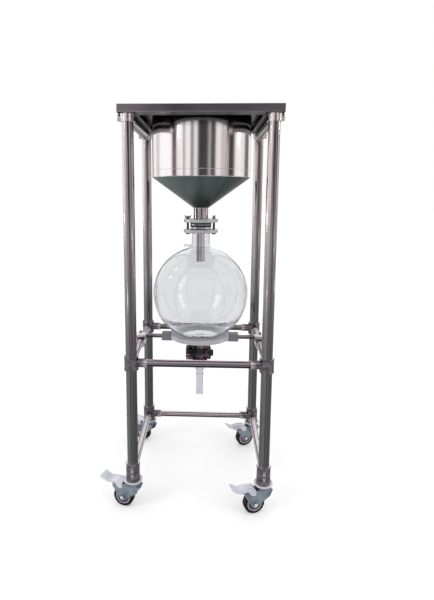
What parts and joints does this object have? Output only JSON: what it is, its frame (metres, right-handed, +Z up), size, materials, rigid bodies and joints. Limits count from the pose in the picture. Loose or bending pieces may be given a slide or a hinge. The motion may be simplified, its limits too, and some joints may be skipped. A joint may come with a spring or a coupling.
{
  "type": "mobile vacuum filter stand",
  "caption": "Castered tube stand holding a steel bowl funnel clamped over a round glass receiver with a bottom drain valve.",
  "frame": {"origin": "on the floor, midway between the four posts", "axes": "+Z up, +X to the right and -Y towards the front, the side with no foot rail"},
  "size_m": [0.6158, 0.5963, 1.384],
  "materials": {
    "polished_tube": "polished drawn stainless tube",
    "cast_fitting": "polished cast stainless",
    "bowl_steel": "mirror polished stainless sheet",
    "plate_steel": "brushed stainless sheet",
    "sieve_steel": "brushed perforated sheet",
    "fastener_steel": "bright steel",
    "clamp_alloy": "matt cast alloy",
    "gasket_rubber": "matt black",
    "clear_glass": "clear borosilicate",
    "ring_plastic": "pale grey",
    "black_plastic": "black",
    "zinc_steel": "blue zinc plated pressing",
    "pedal_steel": "bright zinc plated pressing",
    "hub_plastic": "grey violet",
    "tyre_rubber": "black"
  },
  "bodies": {
    "frame": {"caster_stems": "zinc_steel", "cross_clamps": "cast_fitting", "drain_coupling": "black_plastic", "drain_outlet": "clear_glass", "flask": "clear_glass", "foot_fitting_back_left": "cast_fitting", "foot_fitting_back_right": "cast_fitting", "foot_fitting_front_left": "cast_fitting", "foot_fitting_front_right": "cast_fitting", "foot_rail_back": "polished_tube", "foot_rail_left": "polished_tube", "foot_rail_right": "polished_tube", "frame_screws": "fastener_steel", "funnel": "bowl_steel", "mid_fitting_back_left": "cast_fitting", "mid_fitting_back_right": "cast_fitting", "mid_fitting_front_left": "cast_fitting", "mid_fitting_front_right": "cast_fitting", "mid_rail_back": "polished_tube", "mid_rail_front": "polished_tube", "mid_rail_left": "polished_tube", "mid_rail_right": "polished_tube", "neck_clamp_bolts": "fastener_steel", "neck_clamp_lower": "clamp_alloy", "neck_clamp_upper": "clamp_alloy", "neck_gaskets": "gasket_rubber", "outlet_nut": "black_plastic", "post_back_left": "polished_tube", "post_back_right": "polished_tube", "post_front_left": "polished_tube", "post_front_right": "polished_tube", "ring_rods": "polished_tube", "sieve_plate": "sieve_steel", "support_ring": "ring_plastic", "top_fitting_back_left": "cast_fitting", "top_fitting_back_right": "cast_fitting", "top_fitting_front_left": "cast_fitting", "top_fitting_front_right": "cast_fitting", "top_plate": "plate_steel", "top_rail_left": "polished_tube", "top_rail_right": "polished_tube", "valve_body": "black_plastic", "wing_nuts": "fastener_steel"},
    "valve": {"valve_knob": "black_plastic"},
    "caster_front_left": {"caster_fork_front_left": "zinc_steel"},
    "wheel_front_left": {"caster_hub_front_left": "hub_plastic", "caster_tyre_front_left": "tyre_rubber"},
    "pedal_front_left": {"brake_pedal_front_left": "pedal_steel"},
    "caster_front_right": {"caster_fork_front_right": "zinc_steel"},
    "wheel_front_right": {"caster_hub_front_right": "hub_plastic", "caster_tyre_front_right": "tyre_rubber"},
    "pedal_front_right": {"brake_pedal_front_right": "pedal_steel"},
    "caster_back_left": {"caster_fork_back_left": "zinc_steel"},
    "wheel_back_left": {"caster_hub_back_left": "hub_plastic", "caster_tyre_back_left": "tyre_rubber"},
    "pedal_back_left": {"brake_pedal_back_left": "pedal_steel"},
    "caster_back_right": {"caster_fork_back_right": "zinc_steel"},
    "wheel_back_right": {"caster_hub_back_right": "hub_plastic", "caster_tyre_back_right": "tyre_rubber"},
    "pedal_back_right": {"brake_pedal_back_right": "pedal_steel"}
  },
  "joints": [
    {"name": "valve_turn", "type": "hinge", "parent": "frame", "child": "valve", "pos_m": [-0.04, 0, 0.499], "axis": [1, 0, 0], "range_deg": [0, 90]},
    {"name": "swivel_front_left", "type": "hinge", "parent": "frame", "child": "caster_front_left", "pos_m": [-0.23, -0.23, 0.09], "axis": [0, 0, 1], "continuous": true},
    {"name": "roll_front_left", "type": "hinge", "parent": "caster_front_left", "child": "wheel_front_left", "pos_m": [-0.26364, -0.22035, 0.0375], "axis": [-0.2756, -0.9613, 0], "continuous": true},
    {"name": "brake_front_left", "type": "hinge", "parent": "caster_front_left", "child": "pedal_front_left", "pos_m": [-0.26941, -0.2187, 0.08], "axis": [-0.2756, -0.9613, 0], "range_deg": [0, 14]},
    {"name": "swivel_front_right", "type": "hinge", "parent": "frame", "child": "caster_front_right", "pos_m": [0.23, -0.23, 0.09], "axis": [0, 0, 1], "continuous": true},
    {"name": "roll_front_right", "type": "hinge", "parent": "caster_front_right", "child": "wheel_front_right", "pos_m": [0.19653, -0.24023, 0.0375], "axis": [0.2924, -0.9563, 0], "continuous": true},
    {"name": "brake_front_right", "type": "hinge", "parent": "caster_front_right", "child": "pedal_front_right", "pos_m": [0.19079, -0.24199, 0.08], "axis": [0.2924, -0.9563, 0], "range_deg": [0, 14]},
    {"name": "swivel_back_left", "type": "hinge", "parent": "frame", "child": "caster_back_left", "pos_m": [-0.23, 0.23, 0.09], "axis": [0, 0, 1], "continuous": true},
    {"name": "roll_back_left", "type": "hinge", "parent": "caster_back_left", "child": "wheel_back_left", "pos_m": [-0.26031, 0.2475, 0.0375], "axis": [-0.5, -0.866, 0], "continuous": true},
    {"name": "brake_back_left", "type": "hinge", "parent": "caster_back_left", "child": "pedal_back_left", "pos_m": [-0.26551, 0.2505, 0.08], "axis": [-0.5, -0.866, 0], "range_deg": [0, 14]},
    {"name": "swivel_back_right", "type": "hinge", "parent": "frame", "child": "caster_back_right", "pos_m": [0.23, 0.23, 0.09], "axis": [0, 0, 1], "continuous": true},
    {"name": "roll_back_right", "type": "hinge", "parent": "caster_back_right", "child": "wheel_back_right", "pos_m": [0.19733, 0.21746, 0.0375], "axis": [0.3584, -0.9336, 0], "continuous": true},
    {"name": "brake_back_right", "type": "hinge", "parent": "caster_back_right", "child": "pedal_back_right", "pos_m": [0.19172, 0.21531, 0.08], "axis": [0.3584, -0.9336, 0], "range_deg": [0, 14]}
  ]
}
